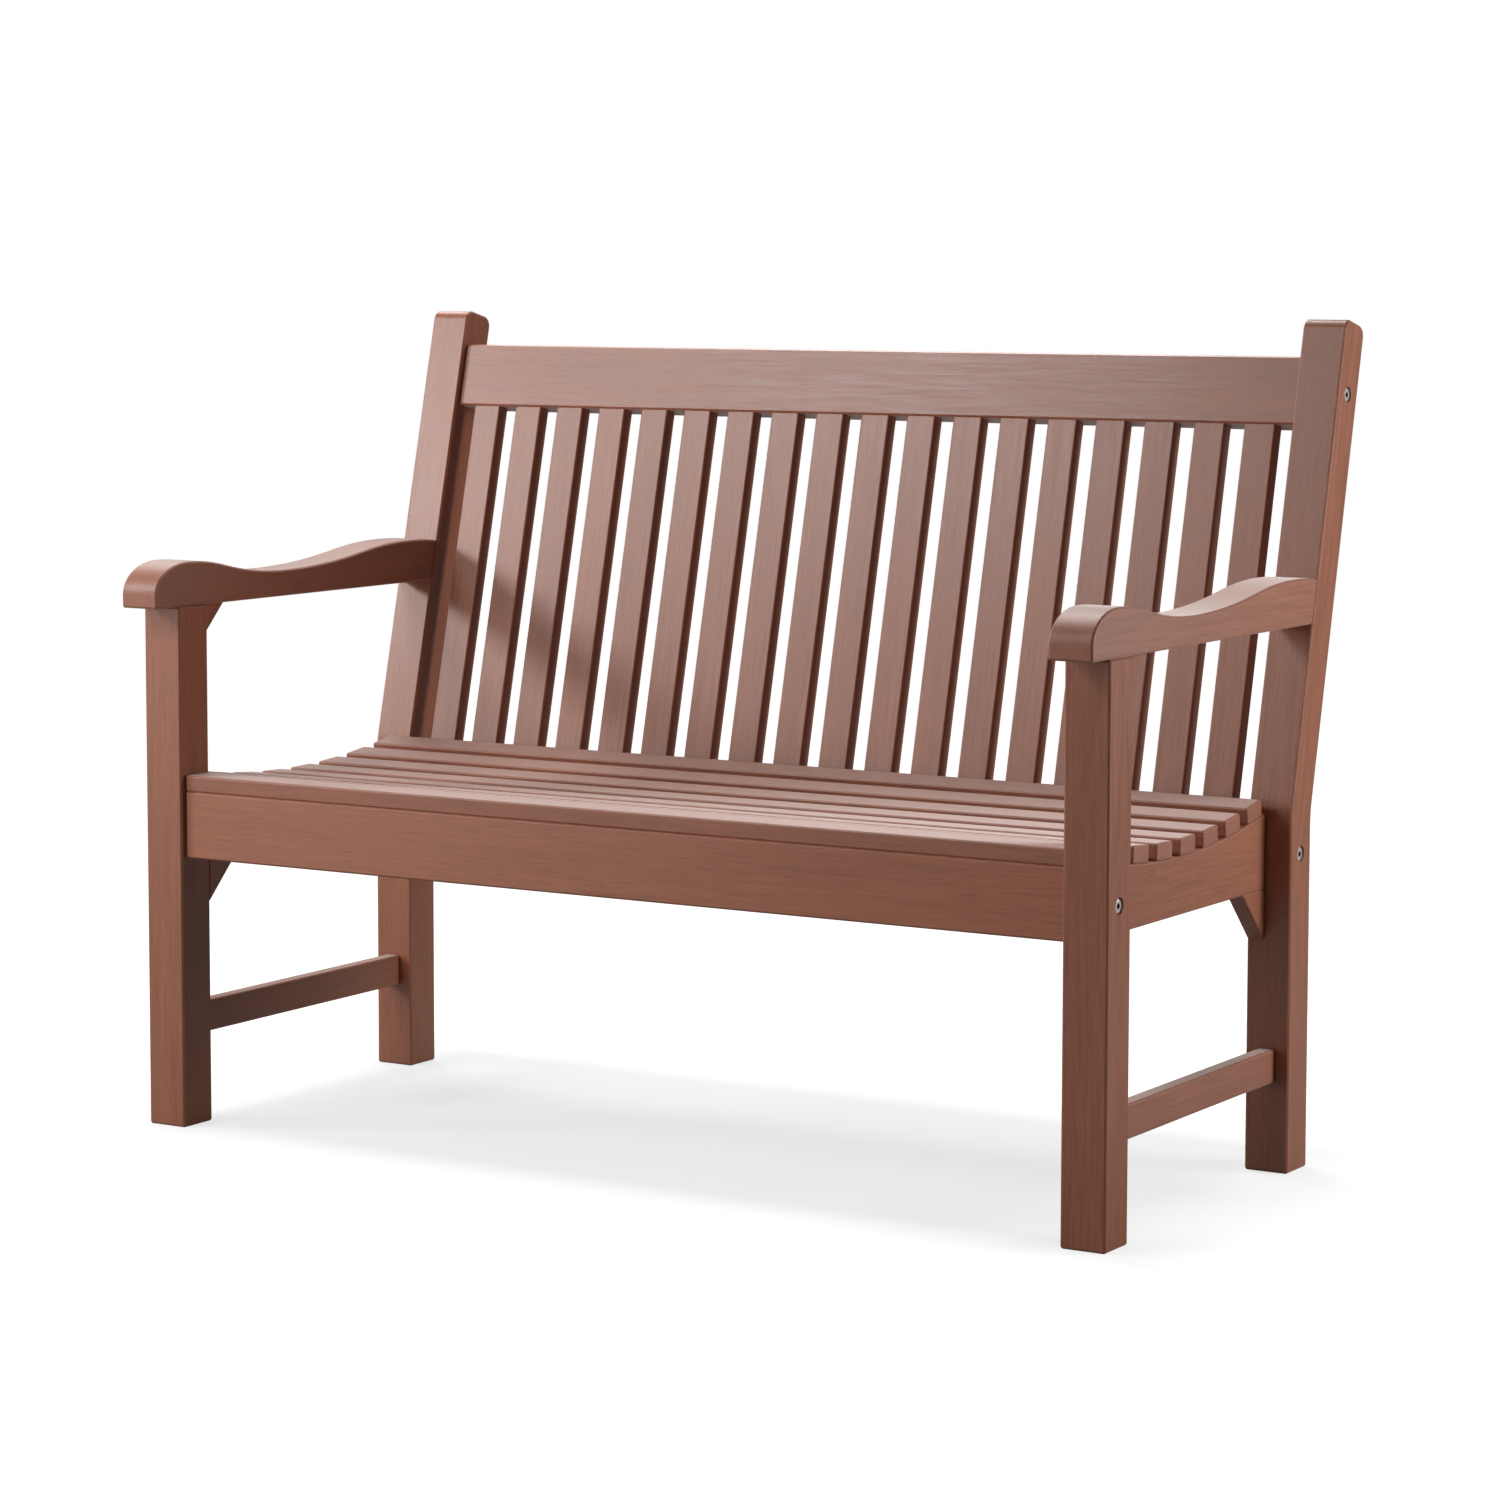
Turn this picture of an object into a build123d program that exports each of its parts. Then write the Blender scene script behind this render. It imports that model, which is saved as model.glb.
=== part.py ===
from build123d import *
from math import asin, atan2, cos, radians, sin, sqrt
import os

# Frame sizes in millimetres: X across the bench, Y from front to back, Z up from the floor
overall_width = 1200.0
overall_height = 906.5
leg_width = 50.0
leg_depth = 50.0
leg_spread = 380.0
edge_ease = 2.0

# Rear posts: upright to just above the back rail, then leaning back
bend_rise = 6.0
rake_angle = 13.6
bend_radius = 120.0
post_top_radius = 12.0

# Arms: flat underside, bullnose front, dip, crest before the post
arm_width = 49.0
arm_underside = 585.0
arm_overhang = 38.0
nose_face = 15.0
nose_reach = 56.0
front_crest_rise = 50.0
front_crest_radius = 300.0
dip_reach = 230.0
dip_rise = 30.0
rear_crest_rise = 50.5
rear_crest_radius = 557.0
rear_crest_setback = 48.0

# Rails between the legs
rail_bottom = 304.0
rail_height = 75.0
rail_thickness = 36.0
side_rail_thickness = 20.0
top_rail_height = 75.0
top_rail_drop = 41.5

# Seat slats and the dished curve that carries them
front_slat_width = 42.0
seat_slat_width = 36.0
seat_slat_thickness = 18.0
seat_slat_count = 8
seat_front_gap = 11.0
seat_rear_gap = 8.0
dish_radius = 1060.0
dish_low_offset = 170.0
dish_drop = 14.0
slat_ease = 1.5

# Back slats
back_slat_count = 18
back_slat_width = 37.0
back_slat_thickness = 18.0
back_slat_recess = 8.0

# Stretchers and corner blocks
stretcher_thickness = 18.0
stretcher_height = 36.0
stretcher_bottom = 98.0
block_size = 54.0
block_thickness = 20.0
arm_block_inset = 12.0

# Tenons
tenon_length = 14.0
tenon_shoulder = 5.0
side_tenon_height = 44.0
leg_tenon_size = 28.0
leg_tenon_length = 18.0
arm_tenon_height = 24.0
arm_tenon_shoulder = 12.0
slat_tenon_length = 12.0
slat_tenon_shoulder = 4.0

# Frame bolts and barrel nuts
bolt_diameter = 8.0
bolt_reach = 30.0
head_diameter = 15.0
head_height = 4.0
head_recess = 1.5
socket_across_flats = 5.0
socket_depth = 2.5
nut_diameter = 12.0
nut_length = 20.0

# Clearances on each side
fit_gap = 0.2
head_gap = 1.25
seat_gap = 0.05
bolt_gap = 0.3
thread_gap = 0.1
end_gap = 0.5

# Derived positions
rake = radians(rake_angle)
half_width = overall_width / 2
inner_x = half_width - leg_width
clear_width = 2 * inner_x
leg_mid_x = half_width - leg_width / 2
post_front_y = leg_depth + leg_spread
post_mid_y = post_front_y + leg_depth / 2
rail_top = rail_bottom + rail_height
rail_mid_z = rail_bottom + rail_height / 2
bend_height = rail_top + bend_rise
front_rail_y = (leg_depth - rail_thickness) / 2
dish_y = leg_depth + dish_low_offset
dish_z = rail_top - dish_drop + dish_radius
counterbore_depth = head_height + head_recess
nut_depth = leg_width + bolt_reach
bolt_tip = nut_depth + sqrt(nut_diameter**2 - bolt_diameter**2) / 2

# Leaning frame of the back: local x across, y to the rear, z up along the post's centre line
back_frame = Plane(
    origin=(0, post_mid_y, bend_height),
    x_dir=(1, 0, 0),
    z_dir=(0, sin(rake), cos(rake)),
)
crown_drop = post_top_radius * (cos(rake) + sin(rake) - 1)
crest_lift = leg_depth / 2 * sin(rake)
post_length = (overall_height - bend_height - crest_lift + crown_drop) / cos(rake)
top_rail_high = post_length - top_rail_drop
top_rail_low = top_rail_high - top_rail_height
top_rail_mid = (top_rail_high + top_rail_low) / 2
back_slat_y = back_slat_recess + (back_slat_thickness - leg_depth) / 2
arm_end_mid = arm_underside + rear_crest_rise / 2
arm_end_rise = (arm_end_mid - bend_height - crest_lift) / cos(rake)


def back_point(y, z):
    """World Y and Z of a point in the leaning frame."""
    return (
        post_mid_y + z * sin(rake) + y * cos(rake),
        bend_height + z * cos(rake) - y * sin(rake),
    )


def dish_height(y):
    """Height of the seat curve at depth y."""
    return dish_z - sqrt(dish_radius**2 - (y - dish_y) ** 2)


def both_sides(piece):
    """The right-hand piece and its mirror image on the left."""
    return [piece, mirror(piece, about=Plane.YZ)]


def bar(length, depth, height, ease):
    """Bar along X with every edge eased, centred on the origin."""
    blank = Box(length, depth, height)
    return chamfer(blank.edges(), ease)


def side_prism(face, x_low, x_high):
    """Prism of a side-view face (Y, Z) between two X positions."""
    return extrude(Plane.YZ.offset(x_low) * face, amount=x_high - x_low)


def block_at(x, y, z):
    """Box from three pairs of low and high limits."""
    box = Box(x[1] - x[0], y[1] - y[0], z[1] - z[0])
    return Pos((x[0] + x[1]) / 2, (y[0] + y[1]) / 2, (z[0] + z[1]) / 2) * box


# Frame bolts: one plane per right-hand bolt, z pointing out of the counterbore, x towards the nut's mouth
def bolt_planes():
    front = Plane((half_width, leg_depth / 2, rail_mid_z), x_dir=(0, 1, 0), z_dir=(1, 0, 0))
    back = Plane((half_width, post_mid_y, rail_mid_z), x_dir=(0, 1, 0), z_dir=(1, 0, 0))
    top_y, top_z = back_point(0, top_rail_mid)
    rearward = (0, cos(rake), -sin(rake))
    top = Plane((half_width, top_y, top_z), x_dir=rearward, z_dir=(1, 0, 0))
    return {"front": front, "back": back, "top": top}


def rod(radius, low, high):
    """Cylinder along Z between two heights."""
    return Pos(0, 0, (low + high) / 2) * Cylinder(radius, high - low)


def frame_bolt():
    """Bolt with a flat cap head and a hex socket, its counterbore mouth at the origin."""
    seat = -counterbore_depth
    crown = seat + head_height
    head = rod(head_diameter / 2, seat, crown)
    shank = rod(bolt_diameter / 2, -bolt_tip, seat)
    hexagon = RegularPolygon(socket_across_flats / 2, 6, major_radius=False)
    socket = extrude(Pos(0, 0, crown - socket_depth) * hexagon, amount=socket_depth)
    return head + shank - socket


def barrel_nut():
    """Cylinder along X with a cross hole for the bolt."""
    nut = Rot(0, 90, 0) * Cylinder(nut_diameter / 2, nut_length)
    hole = Cylinder(bolt_diameter / 2 + thread_gap, 2 * nut_diameter)
    return Pos(0, 0, -nut_depth) * (nut - hole)


def bolt_cutter(name):
    """Counterbore and clearance hole of a right-hand bolt."""
    mouth = rod(head_diameter / 2 + head_gap, -counterbore_depth, edge_ease)
    shaft = rod(bolt_diameter / 2 + bolt_gap, -nut_depth, -counterbore_depth)
    return bolt_planes()[name] * (mouth + shaft)


def nut_cutter(name):
    """Cross hole for a barrel nut, open on the rear of the rail."""
    low = -nut_length / 2 - fit_gap
    hole = Rot(0, 90, 0) * rod(nut_diameter / 2 + fit_gap, low, rail_thickness)
    return bolt_planes()[name] * (Pos(0, 0, -nut_depth) * hole)


# Tenons and their mortises on the right-hand side frame
def side_tenons(grow):
    """Stub tenons of the side rail, front and rear, grown by a clearance."""
    x_mid = inner_x + side_rail_thickness / 2
    half = side_rail_thickness / 2 - tenon_shoulder + grow
    z_half = side_tenon_height / 2 + grow
    x = (x_mid - half, x_mid + half)
    z = (rail_mid_z - z_half, rail_mid_z + z_half)
    return tenon_pair(x, z, grow)


def stretcher_tenons(grow):
    """Stub tenons of the stretcher, front and rear, grown by a clearance."""
    half = stretcher_thickness / 2 - tenon_shoulder + grow
    z_low = stretcher_bottom + tenon_shoulder - grow
    z_high = stretcher_bottom + stretcher_height - tenon_shoulder + grow
    return tenon_pair((leg_mid_x - half, leg_mid_x + half), (z_low, z_high), grow)


def tenon_pair(x, z, grow):
    """A tenon into the front leg and one into the rear post."""
    front = block_at(x, (leg_depth - tenon_length - grow, leg_depth), z)
    rear = block_at(x, (post_front_y, post_front_y + tenon_length + grow), z)
    return [front, rear]


def leg_tenon(grow):
    """Square tenon on the front leg's top, grown by a clearance."""
    half = leg_tenon_size / 2 + grow
    mid_x = half_width - arm_width / 2
    mid_y = leg_depth / 2
    z = (arm_underside, arm_underside + leg_tenon_length + grow)
    return block_at((mid_x - half, mid_x + half), (mid_y - half, mid_y + half), z)


def arm_tenon(grow):
    """Tenon on the arm's rear end, square to the post's leaning face, grown by a clearance."""
    low_y = -leg_depth / 2
    depth = tenon_length + grow
    width = arm_width - 2 * arm_tenon_shoulder + 2 * grow
    box = Box(width, depth, arm_tenon_height + 2 * grow)
    return back_frame * (Pos(half_width - arm_width / 2, low_y + depth / 2, arm_end_rise) * box)


# Right-hand front leg
def front_leg():
    leg = block_at((inner_x, half_width), (0, leg_depth), (0, arm_underside))
    leg = chamfer(leg.edges(), edge_ease)
    mortises = [side_tenons(fit_gap)[0], stretcher_tenons(fit_gap)[0]]
    return leg + leg_tenon(0) - mortises - bolt_cutter("front")


# Right-hand rear post
def rear_post():
    half = leg_depth / 2
    knee = half * (1 - cos(rake)) / sin(rake)
    front_knee = (post_front_y, bend_height + knee)
    rear_knee = (post_front_y + leg_depth, bend_height - knee)
    outline = Polyline(
        (post_front_y, 0),
        front_knee,
        back_point(-half, post_length),
        back_point(half, post_length),
        rear_knee,
        (post_front_y + leg_depth, 0),
        close=True,
    )
    face = make_face(outline)
    corners = face.vertices().sort_by(Axis.Y)
    face = fillet(corners[-2:], post_top_radius)
    knees = [v for v in face.vertices() if abs(v.Y - bend_height) < 2 * knee]
    face = fillet(knees, bend_radius)
    post = side_prism(face, inner_x, half_width)
    rims = post.faces().filter_by(Axis.X).edges() + post.faces().sort_by(Axis.Z)[0].edges()
    post = chamfer(rims, edge_ease)
    mortises = [side_tenons(fit_gap)[1], stretcher_tenons(fit_gap)[1], arm_tenon(fit_gap)]
    return post - mortises - [bolt_cutter("back"), bolt_cutter("top")]


def arc_about(y, z, radius, start, end):
    """Arc in the side view between two angles, measured from straight up towards the rear."""
    angles = (start, (start + end) / 2, end)
    points = [(y + radius * sin(a), z + radius * cos(a)) for a in angles]
    return ThreePointArc(*points)


# Right-hand arm: quarter ellipse at the nose, then two S-curves made of tangent arcs
def arm():
    nose_y = -arm_overhang
    crest_y = nose_y + nose_reach
    crest_z = arm_underside + front_crest_rise
    dip_y = nose_y + dip_reach
    dip_z = arm_underside + dip_rise
    end_y = back_point(-leg_depth / 2, arm_end_rise)[0]
    rear_y = end_y - rear_crest_setback
    rear_z = arm_underside + rear_crest_rise
    past_y = end_y + leg_depth
    fall = 2 * atan2(crest_z - dip_z, dip_y - crest_y)
    climb = 2 * atan2(rear_z - dip_z, rear_y - dip_y)
    hollow_front = (dip_y - crest_y) / sin(fall) - front_crest_radius
    hollow_rear = (rear_y - dip_y) / sin(climb) - rear_crest_radius
    run_out = asin((past_y - rear_y) / rear_crest_radius)
    tail = arc_about(rear_y, rear_z - rear_crest_radius, rear_crest_radius, -climb, run_out)
    nose_z = arm_underside + nose_face
    parts = [
        Line((nose_y, arm_underside), (nose_y, nose_z)),
        EllipticalCenterArc((crest_y, nose_z), nose_reach, crest_z - nose_z, 90, arc_size=90),
        arc_about(crest_y, crest_z - front_crest_radius, front_crest_radius, 0, fall),
        arc_about(dip_y, dip_z + hollow_front, -hollow_front, fall, 0),
        arc_about(dip_y, dip_z + hollow_rear, -hollow_rear, 0, -climb),
        tail,
        Polyline(tail @ 1, (past_y, arm_underside), (nose_y, arm_underside)),
    ]
    face = make_face([edge for part in parts for edge in part.edges()])
    blank = side_prism(face, half_width - arm_width, half_width)
    behind = Pos(0, leg_depth, arm_end_rise) * Box(2 * overall_width, 3 * leg_depth, overall_height)
    blank = blank - back_frame * behind
    return chamfer(blank.edges(), edge_ease) + arm_tenon(0) - leg_tenon(fit_gap)


# Rails along X
def front_rail():
    rail = bar(clear_width, rail_thickness, rail_height, edge_ease)
    rail = Pos(0, leg_depth / 2, rail_mid_z) * rail
    return rail - rail_holes("front")


def back_rail():
    rail = bar(clear_width, rail_thickness, rail_height, edge_ease)
    rail = Pos(0, post_mid_y, rail_mid_z) * rail
    mortises = [slat_tenon(x, fit_gap) for x in back_slat_positions()]
    return rail - rail_holes("back") - mortises


def top_rail():
    rail = bar(clear_width, rail_thickness, top_rail_height, edge_ease)
    rail = back_frame * (Pos(0, 0, top_rail_mid) * rail)
    mortises = [slat_tenon(x, fit_gap) for x in back_slat_positions()]
    return rail - rail_holes("top") - mortises


def rail_holes(name):
    """Bolt and nut holes in both ends of a rail."""
    return both_sides(bolt_cutter(name)) + both_sides(nut_cutter(name))


# Back slats, evenly spaced between the posts, tenoned into the top rail and the back rail
def back_slat_positions():
    space = (clear_width - back_slat_count * back_slat_width) / (back_slat_count + 1)
    first = -inner_x + space + back_slat_width / 2
    return [first + i * (space + back_slat_width) for i in range(back_slat_count)]


def slat_tenon(x, grow):
    """Core of a back slat, long enough to be both its tenons, grown by a clearance."""
    width = back_slat_width - 2 * slat_tenon_shoulder + 2 * grow
    thickness = back_slat_thickness - 2 * slat_tenon_shoulder + 2 * grow
    low = -bend_rise / cos(rake) - slat_tenon_length - grow
    high = top_rail_low + slat_tenon_length + grow
    core = Box(width, thickness, high - low)
    return back_frame * (Pos(x, back_slat_y, (low + high) / 2) * core)


def back_slat(x):
    """Slat cut level where it stands on the back rail and square under the top rail."""
    low = -bend_rise - back_slat_thickness
    body = Box(back_slat_width, back_slat_thickness, top_rail_low - low)
    body = chamfer(body.edges().filter_by(Axis.Z), slat_ease)
    body = back_frame * (Pos(x, back_slat_y, (top_rail_low + low) / 2) * body)
    below = Pos(x, post_mid_y, rail_mid_z) * Box(2 * back_slat_width, 2 * leg_depth, rail_height)
    return body - below + slat_tenon(x, 0)


# Seat rails with the dished top edge
def seat_rail_face(y_low, y_high):
    y_mid = (y_low + y_high) / 2
    curve = [(y, dish_height(y)) for y in (y_low, y_mid, y_high)]
    top = ThreePointArc(*curve)
    rest = Polyline(curve[2], (y_high, rail_bottom), (y_low, rail_bottom), curve[0])
    return make_face(top.edges() + rest.edges())


def side_rail():
    face = seat_rail_face(leg_depth, post_front_y)
    rail = side_prism(face, inner_x, inner_x + side_rail_thickness)
    return chamfer(rail.edges(), slat_ease) + side_tenons(0)


def centre_rail():
    y_low = front_rail_y + rail_thickness
    y_high = post_mid_y - rail_thickness / 2
    half = side_rail_thickness / 2
    rail = side_prism(seat_rail_face(y_low, y_high), -half, half)
    notch_y = front_rail_y + front_slat_width + end_gap
    notch = block_at((-2 * half, 2 * half), (0, notch_y), (rail_top, 2 * rail_top))
    return rail - notch


# Seat slats
def seat_slat(length, width):
    """Slat along X with eased edges, its underside centred on the origin."""
    return Pos(0, 0, seat_slat_thickness / 2) * bar(length, width, seat_slat_thickness, slat_ease)


def front_slat():
    slat = seat_slat(clear_width - 2 * end_gap, front_slat_width)
    return Pos(0, front_rail_y + front_slat_width / 2, rail_top) * slat


def dish_slats():
    """Slats laid tangent to the dished curve from front to back."""
    first_y = front_rail_y + front_slat_width + seat_front_gap + seat_slat_width / 2
    last_y = post_front_y - seat_rear_gap - seat_slat_width / 2
    start = asin((first_y - dish_y) / dish_radius)
    step = (asin((last_y - dish_y) / dish_radius) - start) / (seat_slat_count - 2)
    blank = seat_slat(2 * (inner_x + side_rail_thickness), seat_slat_width)
    reach = sqrt(dish_radius**2 - (seat_slat_width / 2) ** 2) - seat_gap
    slats = []
    for i in range(seat_slat_count - 1):
        a = start + i * step
        origin = (0, dish_y + reach * sin(a), dish_z - reach * cos(a))
        slats.append(Plane(origin, x_dir=(1, 0, 0), z_dir=(0, -sin(a), cos(a))) * blank)
    return slats


# Right-hand stretcher and corner blocks
def stretcher():
    half = stretcher_thickness / 2
    z = (stretcher_bottom, stretcher_bottom + stretcher_height)
    piece = block_at((leg_mid_x - half, leg_mid_x + half), (leg_depth, post_front_y), z)
    return chamfer(piece.edges(), slat_ease) + stretcher_tenons(0)


def corner_block(y, z, way, x_low):
    """Right-angled block in the corner at (y, z), running along Y in the given way and down."""
    outline = Polyline((y, z), (y + way * block_size, z), (y, z - block_size), close=True)
    block = side_prism(make_face(outline), x_low, x_low + block_thickness)
    slope = [e for e in block.edges() if abs(e.center().Y - y - way * block_size / 2) < 1]
    slope = [e for e in slope if abs(e.center().Z - z + block_size / 2) < 1]
    return chamfer(slope, slat_ease)


# Nodes
def build_nodes():
    right = {
        "front_leg": front_leg(),
        "rear_post": rear_post(),
        "arm": arm(),
        "side_rail": side_rail(),
        "stretcher": stretcher(),
        "arm_block": corner_block(
            leg_depth, arm_underside, 1, half_width - arm_block_inset - block_thickness
        ),
        "front_block": corner_block(leg_depth, rail_bottom, 1, inner_x),
        "rear_block": corner_block(post_front_y, rail_bottom, -1, inner_x),
    }
    nodes = {}
    for name, piece in right.items():
        nodes[name + "_right"] = piece
        nodes[name + "_left"] = mirror(piece, about=Plane.YZ)
    nodes["front_rail"] = front_rail()
    nodes["back_rail"] = back_rail()
    nodes["top_rail"] = top_rail()
    nodes["centre_rail"] = centre_rail()
    for i, slat in enumerate([front_slat()] + dish_slats()):
        nodes[f"seat_slat_{i + 1}"] = slat
    for i, x in enumerate(back_slat_positions()):
        nodes[f"back_slat_{i + 1:02d}"] = back_slat(x)
    bolts = []
    nuts = []
    for plane in bolt_planes().values():
        bolts += both_sides(plane * frame_bolt())
        nuts += both_sides(plane * barrel_nut())
    nodes["frame_bolts"] = Compound([bolt.solid() for bolt in bolts])
    nodes["barrel_nuts"] = Compound([nut.solid() for nut in nuts])
    return nodes


# Origin on the floor at the middle of the bench's width and depth
nodes = build_nodes()
front_y = nodes["arm_right"].bounding_box().min.Y
rear_y = nodes["rear_post_right"].bounding_box().max.Y
to_origin = Pos(0, -(front_y + rear_y) / 2, 0)
os.makedirs("parts", exist_ok=True)
for name, piece in nodes.items():
    export_step(to_origin * piece, f"parts/{name}.step")
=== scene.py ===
"""Dressed model of a slatted garden bench: eased lumber pieces, steel bolts, a white studio."""

import logging
import math
from dataclasses import dataclass, replace
from enum import Enum

import bmesh
import bpy
import numpy as np
from mathutils import Matrix, Vector


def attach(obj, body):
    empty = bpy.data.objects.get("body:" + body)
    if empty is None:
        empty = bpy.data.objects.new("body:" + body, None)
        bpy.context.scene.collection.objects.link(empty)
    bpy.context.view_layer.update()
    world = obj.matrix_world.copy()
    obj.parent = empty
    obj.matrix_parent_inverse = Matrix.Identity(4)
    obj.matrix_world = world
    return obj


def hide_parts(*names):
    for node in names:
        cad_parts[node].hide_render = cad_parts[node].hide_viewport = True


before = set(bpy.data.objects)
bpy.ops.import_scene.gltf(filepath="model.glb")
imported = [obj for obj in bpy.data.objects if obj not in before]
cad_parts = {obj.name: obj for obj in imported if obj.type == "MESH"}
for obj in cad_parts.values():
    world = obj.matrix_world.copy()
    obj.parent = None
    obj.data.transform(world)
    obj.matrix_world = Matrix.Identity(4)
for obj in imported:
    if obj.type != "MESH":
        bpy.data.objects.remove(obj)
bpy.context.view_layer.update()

log = logging.getLogger("bench")

Colour = tuple[float, float, float]
Point = tuple[float, float, float]

BODY = "root"
SIDES = ("left", "right")
WHITE = (1.0, 1.0, 1.0, 1.0)
NOISE_RANGE = (0.3, 0.7)  # most of a noise's values lie in it


class Run(Enum):
    """Direction in which the grain of a board runs."""

    ACROSS = "along the width of the bench"
    DEPTH = "front to back"
    UPRIGHT = "straight up"
    LEANING = "up the leaning back"
    BENT = "up the post and round its bend"


@dataclass(frozen=True)
class BackLean:
    """The post's bend: where its centre line starts to lean, and by how much.

    Attributes:
        depth: Y of the bend on the post's centre line, in metres.
        height: Z of the bend, in metres.
        angle: Lean from upright, in radians.
    """

    depth: float = 0.1729
    height: float = 0.385
    angle: float = math.radians(13.6)

    def rise(self, points: np.ndarray) -> np.ndarray:
        """Distance from the bend up the leaning centre line, for an (n, 3) array."""
        away = points - np.array([0.0, self.depth, self.height])
        return away[:, 1] * math.sin(self.angle) + away[:, 2] * math.cos(self.angle)

    def offset(self, points: np.ndarray) -> np.ndarray:
        """Distance behind the leaning centre line, for an (n, 3) array."""
        away = points - np.array([0.0, self.depth, self.height])
        return away[:, 1] * math.cos(self.angle) - away[:, 2] * math.sin(self.angle)

    def point(self, x: float, offset: float, rise: float) -> Point:
        """Place of a point given in the leaning frame."""
        sine, cosine = math.sin(self.angle), math.cos(self.angle)
        return (
            x,
            self.depth + rise * sine + offset * cosine,
            self.height + rise * cosine - offset * sine,
        )


LEAN = BackLean()


def grain_coordinates(points: np.ndarray, run: Run) -> np.ndarray:
    """Turns places into board coordinates: along the grain, then across it twice.

    A straight board swaps its axes so that the first one follows the grain. A leaning board is
    turned by the lean, and a bent one takes the upright height below the bend and the rise along
    the lean above it, whichever is larger, so that the grain follows the bend.

    Args:
        points: (n, 3) array of places, in metres.
        run: Direction of the grain.

    Returns:
        (n, 3) array of board coordinates, in metres.
    """
    x, y, z = points.T
    if run is Run.ACROSS:
        return np.stack([x, y, z], axis=1)
    if run is Run.DEPTH:
        return np.stack([y, x, z], axis=1)
    if run is Run.UPRIGHT:
        return np.stack([z, x, y], axis=1)
    rise, offset = LEAN.rise(points), LEAN.offset(points)
    if run is Run.LEANING:
        return np.stack([rise, x, offset], axis=1)
    upright = z - LEAN.height
    above = rise > 0
    return np.stack(
        [np.where(above, rise, upright), x, np.where(above, offset, y - LEAN.depth)], axis=1
    )


@dataclass(frozen=True)
class Noise:
    """A noise with its own stretch on each axis.

    Attributes:
        stretch: Cycles per metre on each axis.
        detail: Octaves of the noise.
        roughness: Share that each octave keeps.
    """

    stretch: Point
    detail: float
    roughness: float


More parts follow.
